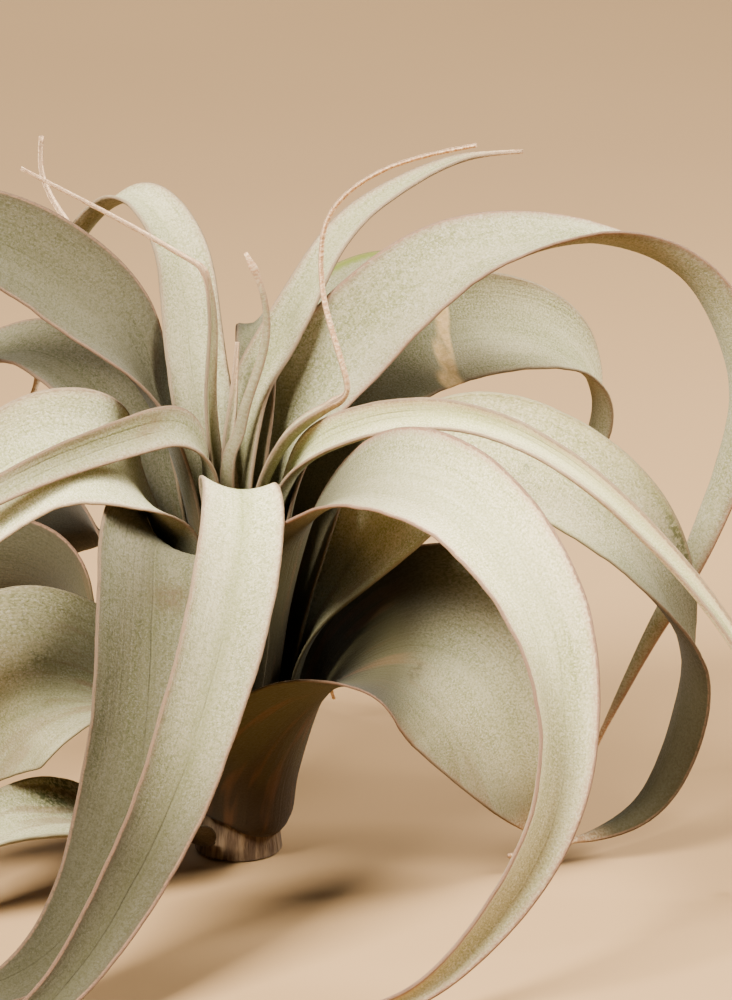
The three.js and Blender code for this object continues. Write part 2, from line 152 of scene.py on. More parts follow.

# Leaves from the lowest and outermost to the innermost.
#   azimuth   direction the leaf grows, degrees about +Z from +X
#   height    where its base joins the stem, mm
#   width     widest part of the ribbon, mm
#   stations  midrib points in mm: outwards, sideways, up, then roll in degrees
# The shape, where it differs from DEFAULTS:
#   base      share of the width at the base
#   peak, dry where the ribbon is widest and where the dried tip starts, as shares of the length
#   power     how late it tapers
#   thread    half width of the dried tip, mm
#   gutter    half angle of the channel, degrees, near the base and further out
#   open      where the sheath opens into the channel, as shares of the length
#   fold      0 for a round channel, 1 for a sharp crease
#   thick     thickness along the middle, mm
#   heel      flare of its own at the base, mm
#   knot      swelling where the dried tip starts
#   scar      pinch across the blade: share of the length, place across, height in mm
# The looks:
#    bloom_and_shading  silver coating near the base, in the middle and at the far end
# low values also paint shade on leaves that lie in shade, values above 1 paint light
#    under     how much of that coating the outer face has; less of it also paints shade on the outer face
#   pink      blush along the margins, and lime the green along them
#   lines     two creases beside the midrib, mm, and their strength
#   marks     kind (r rust, g green, b scar skin), share of the length, place across, and size
#             along and across in mm
LEAVES = [
    # low, left and front, along the ground
    dict(
        azimuth=217, height=3, width=29, base=0.34, pink=0.2, bloom_and_shading=(1, 1, 1),
        stations=[
            (16, 0, 7.5), (25, 0, 9), (35, 0, 12.5, -8), (46, 0, 15.5, -15), (57, 0, 16, -15),
            (68, 0, 12.5, -8), (80, 0, 4.5),
        ],
        marks=[
            ("g", 0.41, -0.85, 7, 5),
            ("g", 0.46, -0.6, 5, 4),
        ],
    ),
    # low, back
    dict(
        azimuth=85, height=5, width=26,
        stations=[
            (17, 0, 15), (28, 0, 26), (43, 0, 31), (58, 0, 27), (71, 0, 17), (84, 0, 7), (98, 0, 3),
        ],
    ),
    # right and front, wide, faces forwards
    dict(
        azimuth=320, height=5, width=50, base=0.45, peak=0.16, power=3.9, gutter=(56, 24),
        open=(0.02, 0.28), pink=0.9, bloom_and_shading=(0.06, 0, 0.4), lines=(0, 0, 0.3),
        stations=[
            (12, 0, 16, 2), (16, 1, 28, 12), (23, 4.5, 39.5, 28), (34.5, 11, 47.3, 50),
            (45.5, 15.8, 45.3, 66), (53, 19.3, 35.5, 75), (56.5, 22.3, 22.5, 74), (55.8, 25.2, 11, 66),
            (51, 27, 3.2, 50),
        ],
        marks=[
            ("r", 0.46, 0.25, 2.6, 3.2),
            ("r", 0.51, -0.32, 1.6, 2.2),
            ("g", 0.51, -0.3, 1.2, 1.8),
            ("g", 0.556, -0.08, 0.6, 0.6),
        ],
    ),
    # low, left
    dict(
        azimuth=152, height=9.5, width=34, base=0.38, peak=0.4, power=2, pink=0.7,
        bloom_and_shading=(0.04, 0.04, 0.15),
        stations=[
            (16, 0, 20), (23, -1, 28), (32, -3.5, 35.8, 18), (42, -4.5, 43, 42), (53, -3, 47.5, 58),
            (66, 0, 45, 58), (77, 2, 35, 45), (85, 3, 22, 25), (92, 6, 9, 10),
        ],
    ),
    # low, back right
    dict(
        azimuth=90, height=12, width=22, base=0.35,
        stations=[
            (13, 0, 21), (16.5, 0, 30.5), (21.5, 0, 41), (29, -1, 50), (39.5, -4, 54), (50, -7, 52),
            (60.5, -10, 44), (67.5, -13, 32), (72.5, -16, 18), (77.5, -19, 5),
        ],
    ),
    # left and front, wide, faces forwards
    dict(
        azimuth=200, height=12, width=46, base=0.36, peak=0.16, power=3.2, gutter=(68, 30),
        open=(0.1, 0.35), pink=0.2, bloom_and_shading=(0.58, 0.58, 0.6), lines=(1.2, 6, 0.6),
        stations=[
            (12.5, 0, 20), (17, 1, 28), (24, 1.5, 34, -2), (34, 1, 38.5, -18), (46, 0, 39.5, -46),
            (56, -1, 33, -62), (62, -3, 21, -62), (63, -7, 9, -45),
        ],
        marks=[
            ("g", 0.525, -0.66, 0.35, 2.6),
            ("g", 0.463, -0.42, 2.4, 0.4),
            ("g", 0.43, -0.12, 0.4, 2.2),
            ("g", 0.506, -0.3, 1.8, 0.35),
            ("g", 0.47, 0.2, 0.9, 0.5),
        ],
    ),
    # right, long loop ending on the ground
    dict(
        azimuth=18, height=16.5, width=24, power=3, pink=0.25, lime=0.3, bloom_and_shading=(0.75, 0.85, 0.1),
        under=0.25,
        stations=[
            (11, 0, 28), (13.2, 0, 40), (18.5, -1, 51.5, 5), (26, -4, 63, 20), (34, -8, 75, 40),
            (46, -11, 83, 50), (60, -17, 80, 50), (72, -23, 70, 38), (81, -28, 55, 5), (86, -29, 39, -28),
            (83, -30, 22, -48), (75, -31, 10, -56), (60.5, -31, 4.8, -56), (47.5, -31, 3.5, -40),
        ],
        marks=[
            ("g", 0.381, 0.08, 0.9, 1),
            ("g", 0.444, -0.17, 0.7, 1.3),
            ("g", 0.65, -0.95, 5, 1.2),
            ("g", 0.69, -0.9, 7, 1.6),
            ("g", 0.6, 0.9, 9, 1),
        ],
    ),
    # back left, arching out behind the low left one
    dict(
        azimuth=138, height=19, width=31, base=0.35, power=2, bloom_and_shading=(0.05, 0.05, 0.1),
        stations=[
            (14, 0, 35), (20, 0, 47), (28, 0, 55, 14), (40, 0, 59, 35), (55, 0, 56, 45), (69, 0, 46, 35),
            (80, 0, 31, 15), (90, -4, 14), (102, -8, 3),
        ],
    ),
    # front left, broad, folded over
    dict(
        azimuth=243, height=21, width=31, base=0.4, power=2.4, gutter=(58, 40), open=(0.2, 0.4),
        pink=0.45, bloom_and_shading=(0.2, 0.13, 0.04), lines=(-2.2, -2.2, 0.6),
        stations=[
            (13, 0, 42), (18.5, 0, 62, -5), (25, -1, 70, -25), (33, 2.5, 64, -25), (42, 7, 52, -22),
            (52, 11, 38.5, -15), (65, 12.5, 24), (79, 11, 12.5), (93, 6, 6.5), (105, -3, 4.5),
            (114, -15, 3.5),
        ],
        marks=[
            ("r", 0.36, 0.1, 3, 4),
        ],
    ),
    # back right, hooked over
    dict(
        azimuth=49, height=23.5, width=31, base=0.38, power=2, open=(0.1, 0.35), pink=0.4,
        bloom_and_shading=(0.12, 0.2, 0.6), scar=(0.535, -0.1, 0.5),
        stations=[
            (13.7, 0, 48), (18.8, 0, 69), (28, -2, 86.3, 6), (45, -5, 97.4, 40), (60, -11, 100.2, 50),
            (74, -17, 97.4, 40), (84, -22, 90, 20), (88, -23, 77.5), (86, -18, 64), (80, -12, 54),
            (70, -8, 52),
        ],
        marks=[
            ("b", 0.535, 0.4, 0.6, 5),
            ("b", 0.527, 0, 0.8, 6),
            ("b", 0.515, -0.5, 1.7, 5),
            ("b", 0.5, -0.95, 3.6, 4),
        ],
    ),
    # left, behind
    dict(
        azimuth=160, height=26, width=22, pink=0.7, bloom_and_shading=(0.2, 0.2, 0.2),
        stations=[
            (11.5, 0, 46), (17, -1, 66), (24, -3, 83, -10), (35, -6, 94, -30), (47, -9, 98, -30),
            (60, -11, 95, -30), (73, -12, 86, -20), (84, -12, 72), (90, -10, 52), (93, -6, 30), (98, 0, 12),
            (108, 6, 3),
        ],
    ),
    # right and front, broad arch to the ground
    dict(
        azimuth=315, height=28.5, width=23, base=0.45, power=2, gutter=(42, 57), open=(0.1, 0.35),
        pink=1.2, bloom_and_shading=(0.1, 0.95, 0.6), lines=(-2.4, 2, 0.5),
        stations=[
            (10.3, 0, 50), (14, 0.3, 66), (21, 0.6, 74, 18), (35, 0.6, 83.6, 31), (53, 1, 86.5, 43),
            (69, 1, 81, 35), (82, 0, 68, 20), (89, -3, 54, 5), (93, -8, 40), (93, -16, 26), (90, -26, 14),
            (85, -38, 5), (77, -51, 3), (68, -62, 3),
        ],
    ),
    # back right, tall and narrow
    dict(
        azimuth=73, height=31, width=15, base=0.4, open=(0.15, 0.35), pink=0, lime=2.2,
        bloom_and_shading=(0.3, 0.3, 0.25),
        stations=[
            (10.8, 0, 54), (13, 0, 72), (18, -1, 90), (28.5, -3, 101), (41, -7, 108.5), (53, -13, 112),
            (61, -20, 111), (67, -27, 105), (70, -31, 95),
        ],
    ),
    # left, broad arch
    dict(
        azimuth=203, height=33, width=27, base=0.5, open=(0.1, 0.35), pink=0.7, bloom_and_shading=(0.6, 0.75, 0.75),
        lines=(-1.5, 1.5, 0.4),
        stations=[
            (10, 0, 52), (15, 1, 65), (20, 2.5, 76.3, -5), (28.5, 5, 86, -36), (40, 5.5, 89, -48),
            (52, 6, 84.3, -50), (64, 6, 73.5, -38), (77, 6, 57, -15), (86, 5, 41), (92, 3, 24), (98, 0, 8),
            (108, -3, 3),
        ],
    ),
    # right, tallest arch, long ribbon end
    dict(
        azimuth=31, height=35.5, width=20, base=0.42, dry=0.98, power=1.5, pink=1,
        bloom_and_shading=(0.35, 0.47, 0.65), under=0.55, lines=(0.6, 0.6, 0.25),
        stations=[
            (8.8, 0, 56), (12, 0, 76), (17.5, 0, 91, 20), (26, 0, 102, 45), (37, -3, 112, 40),
            (49, -6, 118.5, 25), (62, -11, 121.5, 5), (75.5, -16, 121.5, -15), (87.5, -21, 117.5, -28),
            (97, -25, 109, -36), (103, -27, 96, -40), (104, -28, 84, -42), (101, -26, 69, -42),
            (96, -22, 51, -42), (90, -16, 33, -40), (83, -9, 9, -35),
        ],
    ),
    # back left, thin upright tip
    dict(
        azimuth=138, height=38, width=12, base=0.27, dry=0.75, thread=0.7, heel=0.5, pink=0.6,
        bloom_and_shading=(0.4, 0.5, 0.6),
        stations=[
            (8.6, 0, 58), (11.8, 0, 74), (20, 0, 94), (31, 0, 109), (41, 0, 119), (49, 0, 126),
            (54, 0, 133), (54, 0, 141),
        ],
    ),
    # left, tall broad arch
    dict(
        azimuth=175, height=40.5, width=22, base=0.27, open=(0.15, 0.35), pink=0.6,
        bloom_and_shading=(0.09, 0.09, 0.09),
        stations=[
            (7.6, 0, 60), (11, 0, 79), (17, 0, 95), (25, -1, 109, -35), (37, -1, 120, -55),
            (48, 0.5, 126, -50), (60, 3, 128, -40), (73, 4, 123, -25), (83, 5.5, 108, -10), (88, 6, 88),
            (88, 7, 68), (84, 9.5, 50), (88, 13, 30), (98, 17, 14), (112, 16, 4),
        ],
        marks=[
            ("r", 0.235, -0.7, 3, 1.6),
            ("r", 0.22, -0.55, 4, 1.2),
        ],
    ),
    # right, narrow creased band
    dict(
        azimuth=352, height=42.5, width=10, base=0.4, gutter=(70, 85), fold=0.5, pink=0.9, lime=0.1,
        bloom_and_shading=(0.7, 1.2, 1.2), lines=(0.9, 2.2, 1),
        stations=[
            (7.5, 0, 62), (10.6, 0, 76), (19, -4, 87, 25), (35, -7.5, 93.5, 40), (50, -9.5, 93.5, 40),
            (65.5, -12.5, 88, 40), (82, -15, 75, 30), (100, -16, 54, 20), (111, -16, 30), (113, -14, 12),
            (103, -10, 4),
        ],
    ),
    # back left, tall hook
    dict(
        azimuth=119, height=45, width=14, base=0.3, power=2.2, open=(0.15, 0.35), pink=0.5,
        bloom_and_shading=(0.45, 0.5, 0.55), lines=(0.5, 0.5, 0.5),
        stations=[
            (5.95, 0, 56), (7, 0.5, 68), (9.8, 1.5, 84), (14, 2, 98), (19, 1, 110), (26, 0, 121),
            (36, 2, 128), (46, 5, 126), (55, 9, 116), (59, 13, 102), (60, 16, 88), (64, 20, 76),
        ],
    ),
    # front, folded straight over
    dict(
        azimuth=270, height=47, width=17.4, base=0.28, peak=0.3, dry=0.97, power=2.2, gutter=(38, 50),
        heel=0.6, pink=0.8, bloom_and_shading=(0.8, 0.36, 0.05), lines=(0.4, 0.4, 1),
        stations=[
            (6.5, 0, 62), (9.2, 0.4, 71), (14.3, 0.7, 79.3), (21.5, 1.9, 79), (33, 1.4, 71.3), (46, -1, 60),
            (57, -5, 47.5), (67, -10.2, 34.5), (77, -17, 22.5), (87, -24.5, 12.5), (97, -33, 6),
            (106, -44, 4), (112, -58, 3.5),
        ],
        marks=[
            ("g", 0.5, -0.85, 1, 0.8),
        ],
    ),
    # back, short arch
    dict(
        azimuth=67, height=48.5, width=10, base=0.24, peak=0.4, open=(0.2, 0.4), thick=0.9, pink=0.5,
        bloom_and_shading=(0.14, 0.14, 0.2),
        stations=[
            (5.1, 0, 66), (6.5, 0, 80), (10.8, 0, 93), (17.5, 3, 102), (27, 8, 103.5), (36, 11, 99),
            (43, 13, 90), (46, 14, 79),
        ],
    ),
    # left, narrow band over the broad one
    dict(
        azimuth=203, height=50, width=9, base=0.25, thick=0.9, heel=0.4, pink=0.7,
        bloom_and_shading=(0.4, 0.38, 0.38), lines=(0.8, -1.4, 0.6),
        stations=[
            (5.2, 0, 65), (6.3, 1, 76), (8, 3, 85, -15), (14, 5, 91.2, -40), (24, 7.5, 91.5, -50),
            (36, 9, 89.3, -50), (49, 11.5, 86, -40), (64, 12, 79.5, -20), (79, 11, 70), (91, 11, 54),
        ],
        marks=[
            ("r", 0.37, -0.3, 2.5, 1.8),
            ("r", 0.39, 0.1, 2, 1.2),
        ],
    ),
    # inner, thread tip to the left
    dict(
        azimuth=157, height=52, width=5.1, base=0.3, dry=0.62, power=2.4, thread=0.55, thick=0.8,
        knot=0.5, pink=0.6, bloom_and_shading=(0.4, 0.5, 0.5), lines=(0, 0, 0.8),
        stations=[
            (3.6, 0, 64), (4.1, -0.2, 76), (5.9, -0.9, 88), (6.4, -1.6, 98), (6, -2.3, 108),
            (6.3, -2.2, 115.5), (7.3, -1.8, 120), (10.5, -0.3, 122.6), (18.1, 3.5, 127.8), (28.2, 8.2, 134),
            (39.2, 13.4, 140.6),
        ],
    ),
    # inner, creased, thread tip upwards
    dict(
        azimuth=350, height=54, width=6.5, base=0.35, dry=0.4, power=3, thread=0.7, gutter=(60, 60),
        fold=0.3, thick=0.9, knot=0.75, pink=0.6, bloom_and_shading=(0.45, 0.6, 0.6), lines=(-0.7, 0.7, 1),
        stations=[
            (3.8, 0, 64), (4.9, 0, 72), (7.5, -1, 80), (13, -2, 88.7), (20.5, -2.8, 95), (23.4, -3.2, 98.2),
            (23, -4, 102.5), (21, -5, 110), (19, -5, 118.5), (19, -6, 128), (22, -6, 136), (32, -3, 143),
            (48, 1, 147),
        ],
    ),
    # inner, long, to the back right
    dict(
        azimuth=57, height=56, width=9.6, base=0.25, peak=0.4, open=(0.22, 0.42), thick=0.9, pink=0.6,
        bloom_and_shading=(0.35, 0.4, 0.5), lines=(0, 0, 0.8),
        stations=[
            (2.9, 0, 64), (3.7, 0.4, 78), (7.8, 1, 93), (12.2, 0, 100.5, 10), (18, -2, 108, 10),
            (26, -4, 118), (34, -7, 126), (45, -12, 132), (58, -18, 136), (71, -24, 136),
        ],
    ),
    # inner, upright
    dict(
        azimuth=250, height=58, width=3.2, base=0.55, dry=0.95, power=0.7, thread=0.4, thick=0.75,
        knot=0.55, pink=0.6, bloom_and_shading=(0.35, 0.4, 0.5),
        stations=[
            (2.5, 0, 64), (2.1, -0.9, 80), (-0.2, 0.5, 87), (-1.8, 2, 94), (-4, 5.2, 106), (-3.8, 4.5, 117),
            (-2.7, 1.7, 124),
        ],
    ),
    # innermost, upright
    dict(
        azimuth=125, height=60, width=3.8, base=0.3, dry=0.85, thick=0.8, pink=0.6,
        bloom_and_shading=(0.3, 0.35, 0.5),
        stations=[
            (1.6, 0, 66), (1.7, 0, 72), (2.3, 0.2, 80), (3, -0.5, 87), (3.7, -2.2, 94), (4.3, -3.8, 105),
        ],
    ),
]

DEFAULTS = dict(
    base=0.5, peak=0.25, dry=0.93, power=1.5, thread=0.5, gutter=(30, 45), open=(0.04, 0.3), fold=0.0,
    thick=1.0, heel=None, knot=0.0, scar=None, bloom_and_shading=(0.35, 0.4, 0.4), under=0.6, pink=0.4, lime=0.0,
    lines=(0, 0, 0.35), marks=(),
)
MARK_KINDS = "rgb"


def smooth(low, high, x):
    t = np.clip((np.asarray(x, float) - low) / (high - low), 0, 1)
    return t * t * (3 - 2 * t)


def unit(v):
    return v / np.linalg.norm(v)


def unit_rows(a):
    return a / np.maximum(np.linalg.norm(a, axis=1), 1e-9)[:, None]


def wave(x, seed, length, octaves=3):
    """Smooth seeded noise of about -1 to 1 over a length in mm."""
    rng = random.Random(seed)
    total = np.zeros_like(np.asarray(x, float))
    size = 0.0
    for octave in range(octaves):
        step = length / 1.9**octave
        share = 0.55**octave
        total += share * np.sin(2 * math.pi * x / step + rng.uniform(0, 6.28))
        total += share * np.sin(2 * math.pi * x / (step * 1.618) + rng.uniform(0, 6.28))
        size += 2 * share
    return total / size


# Leaf shapes


def stem_radius(z):
    t = min(max(z / STEM_HEIGHT, 0), 1)
    return STEM_FOOT_RADIUS + (STEM_TOP_RADIUS - STEM_FOOT_RADIUS) * t


def curve_through(stations):
    """Evenly bending curve through every station."""
    s = np.array(stations, float)
    count = len(s)
    p = s.copy()
    for _ in range(SPLINE_ROUNDS):
        for i in range(1, count - 1):
            p[i] = (6 * s[i] - p[i - 1] - p[i + 1]) / 4
    q = np.vstack([2 * p[0] - p[1], p, 2 * p[-1] - p[-2]])
    out = []
    for i in range(count - 1):
        for step in range(SPAN_STEPS):
            t = step / SPAN_STEPS
            w = ((1 - t) ** 3, 3 * t**3 - 6 * t * t + 4, -3 * t**3 + 3 * t * t + 3 * t + 1, t**3)
            out.append(sum(w[k] * q[i + k] for k in range(4)) / 6)
    out.append(s[-1])
    return np.array(out)


def base_stations(leaf):
    """Where the leaf leaves the stem, and the heel between that and its first station."""
    start = stem_radius(leaf["height"]) + BASE_CLEARANCE
    heel = leaf["heel"]
    if heel is None:
        heel = HEEL_FLARE * (1 - leaf["height"] / STEM_HEIGHT)
    first = leaf["stations"][0]
    heel_out = start + HEEL_SHARE * (first[0] - start) + heel
    heel_up = leaf["height"] + HEEL_SHARE * (first[2] - leaf["height"])
    return [(start, 0, leaf["height"], 0), (heel_out, 0, heel_up, 0)]


def midrib(leaf):
    """Points, tangents, sideways directions, rolls and arc lengths along a leaf."""
    angle = math.radians(leaf["azimuth"])
    out = np.array([math.cos(angle), math.sin(angle), 0])
    side = np.array([-math.sin(angle), math.cos(angle), 0])
    up = np.array([0, 0, 1.0])
    rows = base_stations(leaf) + [tuple(s) + (0,) * (4 - len(s)) for s in leaf["stations"]]
    path = curve_through([list(out * a + side * b + up * c) + [roll] for a, b, c, roll in rows])
    points = path[:, :3]
    along = np.concatenate([[0], np.cumsum(np.linalg.norm(np.diff(points, axis=0), axis=1))])
    tangents = np.gradient(points, axis=0)
    across = []
    last = side
    for t in tangents:
        t /= np.linalg.norm(t)
        last = unit(last - t * (last @ t))
        across.append(last)
    return points, tangents, np.array(across), np.radians(path[:, 3]), along


def half_width(leaf, u):
    full = leaf["width"] / 2
    grow = leaf["base"] + (1 - leaf["base"]) * np.sin(np.clip(u / leaf["peak"], 0, 1) * math.pi / 2)
    t = np.clip((u - leaf["peak"]) / (leaf["dry"] - leaf["peak"]), 0, 1)
    blade = leaf["thread"] + (full - leaf["thread"]) * (1 - t ** leaf["power"])
    past_dry = np.clip((u - leaf["dry"]) / (1 - leaf["dry"]), 0, 1)
    tip = leaf["thread"] * (1 - THREAD_TAPER * past_dry)
    return np.where(u < leaf["peak"], full * grow, np.where(u < leaf["dry"], blade, tip))


def half_angle(leaf, u, w, centre):
    """Half angle of the cross section: wrapped round the stem axis first, then a channel."""
    distance = np.hypot(centre[:, 0], centre[:, 1])
    sheath = np.minimum(w / np.maximum(distance, 1e-6), SHEATH_LIMIT)
    low, high = leaf["gutter"]
    channel = np.radians(low + (high - low) * smooth(0.2, 0.6, u))
    opened = smooth(leaf["open"][0], leaf["open"][1], u)
    return sheath * (1 - opened) + channel * opened


def section(angle, fold, w, cells):
    """Cross sections row by row: place across from -1 to 1, sideways, inwards and turn."""
    v = np.sin(np.linspace(0, 1, cells * CELL_STEPS + 1) * EDGE_CROWDING) / math.sin(EDGE_CROWDING)
    turn = angle[:, None] * v[None, :] ** (1 - fold[:, None])
    step = np.diff(v)[None, :] * w[:, None]
    x = np.cumsum((np.cos(turn[:, 1:]) + np.cos(turn[:, :-1])) / 2 * step, axis=1)
    y = np.cumsum((np.sin(turn[:, 1:]) + np.sin(turn[:, :-1])) / 2 * step, axis=1)
    zero = np.zeros((len(w), 1))
    x = np.hstack([zero, x])[:, ::CELL_STEPS]
    y = np.hstack([zero, y])[:, ::CELL_STEPS]
    turn = turn[:, ::CELL_STEPS]
    v = v[::CELL_STEPS]
    x = np.hstack([-x[:, :0:-1], x])
    y = np.hstack([y[:, :0:-1], y])
    turn = np.hstack([-turn[:, :0:-1], turn])
    v = np.concatenate([-v[:0:-1], v])
    return v, x, y, turn


def blade_surface(leaf):
    """Middle surface of a leaf, by rows from base to tip and columns from margin to margin."""
    points, tangents, across, rolls, along = midrib(leaf)
    length = along[-1]
    steps = int(min(max(length / ROW_LENGTH, ROWS[0]), ROWS[1]))
    cells = int(min(max(leaf["width"] / 2 / CELL_WIDTH, CELLS[0]), CELLS[1]))
    u = np.linspace(0, 1, steps + 1)
    goal = u * length

    def at(values):
        return np.stack([np.interp(goal, along, values[:, k]) for k in range(3)], 1)

    centre = at(points)
    t = at(tangents)
    t /= np.linalg.norm(t, axis=1)[:, None]
    b = at(across)
    b -= t * (b * t).sum(1)[:, None]
    b /= np.linalg.norm(b, axis=1)[:, None]
    n = np.cross(t, b)
    roll = np.interp(goal, along, rolls)[:, None]
    b, n = b * np.cos(roll) + n * np.sin(roll), n * np.cos(roll) - b * np.sin(roll)
    w = half_width(leaf, u)
    fold = leaf["fold"] * smooth(0.1, 0.4, u)
    v, x, y, turn = section(half_angle(leaf, u, w, centre), fold, w, cells)
    return SimpleNamespace(
        points=centre[:, None] + x[..., None] * b[:, None] + y[..., None] * n[:, None],
        normals=np.cos(turn)[..., None] * n[:, None] - np.sin(turn)[..., None] * b[:, None],
        share=u,
        along=goal,
        across=v,
        half=w,
        length=length,
        dry=smooth(leaf["dry"] - DRIED_HALF / length, leaf["dry"] + DRIED_HALF / length, u),
    )


def relief(leaf, blade, seed):
    """Offsets along the normal, in mm, that keep a ribbon from looking machined."""
    s = blade.along[:, None]
    side = blade.across[None, :]
    w = blade.half[:, None]
    loose = smooth(0.16, 0.36, blade.share)[:, None] * (1 - smooth(leaf["dry"], 1, blade.share)[:, None])
    wide = np.clip(w / 8, 0.2, 1)

    def waves(form, number):
        height, step = form
        return height * wave(s, seed + number, step)

    rolling = waves(LONG_WAVE, 0) * side + waves(SIDE_WAVE, 1) * side**2
    ripple = waves(RIPPLE, 2) * side**4
    groove = -MIDRIB_GROOVE * np.exp(-((side * w / MIDRIB_WIDTH) ** 2))
    bumps = wide * (rolling + ripple) + groove
    if leaf["scar"]:
        bumps = bumps + scar_relief(leaf["scar"], s, side, blade.length, seed + 3)
    return loose * bumps


def scar_relief(scar, s, side, length, seed):
    """A crooked ridge across the blade with a groove before it."""
    place, middle, height = scar
    crook, step = SCAR_CROOK
    bend = SCAR_BOW * np.sin(3 * side) + crook * wave(side * 10, seed, step)
    past = s - place * length - bend
    ridge = np.exp(-((past / SCAR_RIDGE) ** 2))
    groove = np.exp(-(((past + SCAR_GROOVE_BEFORE) / SCAR_GROOVE) ** 2))
    reach = np.exp(-(((side - middle) / SCAR_REACH) ** 4))
    return height * (ridge - SCAR_GROOVE_DEPTH * groove) * reach


def margin(points, normals, column, reach):
    """The rounded edge just outside one column of a blade."""
    edge = points[:, column]
    middle = points[:, points.shape[1] // 2]
    outward = np.cross(normals[:, column], unit_rows(np.gradient(edge, axis=0)))
    sign = np.sign((outward * (edge - middle)).sum(1))[:, None]
    return edge + outward * sign * reach[:, None]


def leaf_rings(leaf, blade, seed):
    """A closed ring of points for each row: inner face, margin, outer face, margin."""
    points = blade.points + blade.normals * relief(leaf, blade, seed)[..., None]
    shrink = wave(blade.along, seed + 5, DRIED_WAVE) * DRIED_SHRINK * blade.dry
    bulge = 1 - np.abs(blade.across[None, :]) ** 4
    thick = (EDGE_THICKNESS + (leaf["thick"] - EDGE_THICKNESS) * bulge) * (1 + shrink)[:, None]
    if leaf["knot"]:
        past = (blade.share - leaf["dry"]) * blade.length
        swell = 1 + leaf["knot"] * np.exp(-((past / KNOT_LENGTH) ** 2))
        column = points.shape[1] // 2
        middle = points[:, column : column + 1]
        points = middle + (points - middle) * swell[:, None, None]
        thick = thick * swell[:, None]
    inner = points + blade.normals * (thick / 2)[..., None]
    outer = points - blade.normals * (thick / 2)[..., None]
    reach = RIM_SHARE * thick[:, -1] * np.clip(blade.half / 1.2, 0.3, 1)
    right = margin(points, blade.normals, -1, reach)
    left = margin(points, blade.normals, 0, reach)
    return np.concatenate([inner, right[:, None], outer[:, ::-1], left[:, None]], axis=1)


def ring_faces(steps, around):
    """Quads between neighbouring rings, and a cap across each end, all facing outwards."""
    order = np.arange(around)
    ahead = np.roll(order, -1)
    base = np.arange(steps)[:, None] * around
    corners = (base + order, base + around + order, base + around + ahead, base + ahead)
    faces = [tuple(map(int, quad)) for quad in np.stack(corners, -1).reshape(-1, 4)]
    count = around // 2 - 1
    for first, turn in ((0, 1), (steps * around, -1)):
        last = first + around - 2
        cap = [(first + j, first + j + 1, last - j - 1, last - j) for j in range(count - 1)]
        cap.append((first, last, last + 1))
        cap.append((first + count - 1, first + count, first + count + 1))
        faces += [face[::turn] for face in cap]
    return faces


# What the leaf material reads at each point


def mark_levels(leaf, along, arc, blade):
    """Strength of the marks of each kind."""
    marks = np.zeros(along.shape + (len(MARK_KINDS),))
    for kind, place, side, size_along, size_across in leaf["marks"]:
        past = (along - place * blade.length) / size_along
        beside = (arc - side * blade.half[:, None]) / size_across
        level = np.exp(-(past**2 + beside**2))
        channel = MARK_KINDS.index(kind)
        marks[..., channel] = np.maximum(marks[..., channel], level)
    if leaf["knot"]:
        level = np.exp(-(((along - leaf["dry"] * blade.length) / KNOT_STAIN) ** 2))
        marks[..., 0] = np.maximum(marks[..., 0], level)
    return marks


def depth_in_rosette(leaf, rings):
    """1 deep in the funnel of leaves, 0 outside it; it sets the painted shade and the stains there."""
    x, y, z = np.moveaxis(rings, -1, 0)
    outside = (z - FUNNEL_HEIGHT) / FUNNEL_DEPTH + (np.hypot(x, y) - FUNNEL_RADIUS) / FUNNEL_SPREAD
    return (1 - smooth(0, 1, outside)) * np.clip(1.25 - leaf["height"] / 55, 0.25, 1)


def coat_and_shading(leaf, u, face):
    """Thickness of the silver coating, thinner on the outer face; low values paint shade, values above 1
    paint light.
    """
    near, middle, far = leaf["bloom_and_shading"]
    bloom_and_shading = near + (middle - near) * smooth(0.2, 0.46, u) + (far - middle) * smooth(0.44, 0.66, u)
    return bloom_and_shading[:, None] * (leaf["under"] + (1 - leaf["under"]) * face)


def attributes(leaf, blade, rings, seed):
    """Vectors for each point of the rings, by the names that the leaf material uses."""
    rows, around = rings.shape[:2]
    count = len(blade.across)
    across = np.concatenate([blade.across, [1.0], blade.across[::-1], [-1.0]])[None, :]
    face = np.concatenate([np.ones(count), [0.5], np.zeros(count), [0.5]])[None, :]
    w = blade.half[:, None]
    arc = across * w
    along = np.repeat(blade.along[:, None], around, 1)
    slab = random.Random(seed).uniform(-400, 400)
    drift = 0.35 * wave(blade.along, seed + 8, 38)[:, None]
    first, second, strength = leaf["lines"]

    def vectors(*parts):
        return np.stack([np.broadcast_to(part, (rows, around)) for part in parts], -1)

    return {
        "flat": vectors(arc, along, slab + 40 * face),
        "state": vectors(blade.dry[:, None], along, w * (1 - np.abs(across))),
        "side": vectors(face, leaf["lime"], 0),
        "marks": mark_levels(leaf, along, arc, blade),
        # The tone carries painted shade and light: depth in the funnel, and a coating whose low and high
        # values stand for shade and light.
        "tone": vectors(depth_in_rosette(leaf, rings), coat_and_shading(leaf, blade.share, face), leaf["pink"]),
        "lines": vectors(arc - first - drift, arc - second - drift, strength),
    }


def ribbon(name, leaf, seed):
    """One leaf as a closed blade with what its material reads."""
    blade = blade_surface(leaf)
    rings = leaf_rings(leaf, blade, seed)
    rows, around = rings.shape[:2]
    mesh = bpy.data.meshes.new(name)
    mesh.from_pydata((rings.reshape(-1, 3) * MM).tolist(), [], ring_faces(rows - 1, around))
    mesh.update()
    for attribute, values in attributes(leaf, blade, rings, seed).items():
        layer = mesh.attributes.new(attribute, "FLOAT_VECTOR", "POINT")
        layer.data.foreach_set("vector", values.reshape(-1).astype(np.float32))
    mesh.polygons.foreach_set("use_smooth", np.ones(len(mesh.polygons), bool))
    return add_object(name, mesh)


def add_object(name, data):
    obj = bpy.data.objects.new(name, data)
    bpy.context.scene.collection.objects.link(obj)
    return obj


# Materials


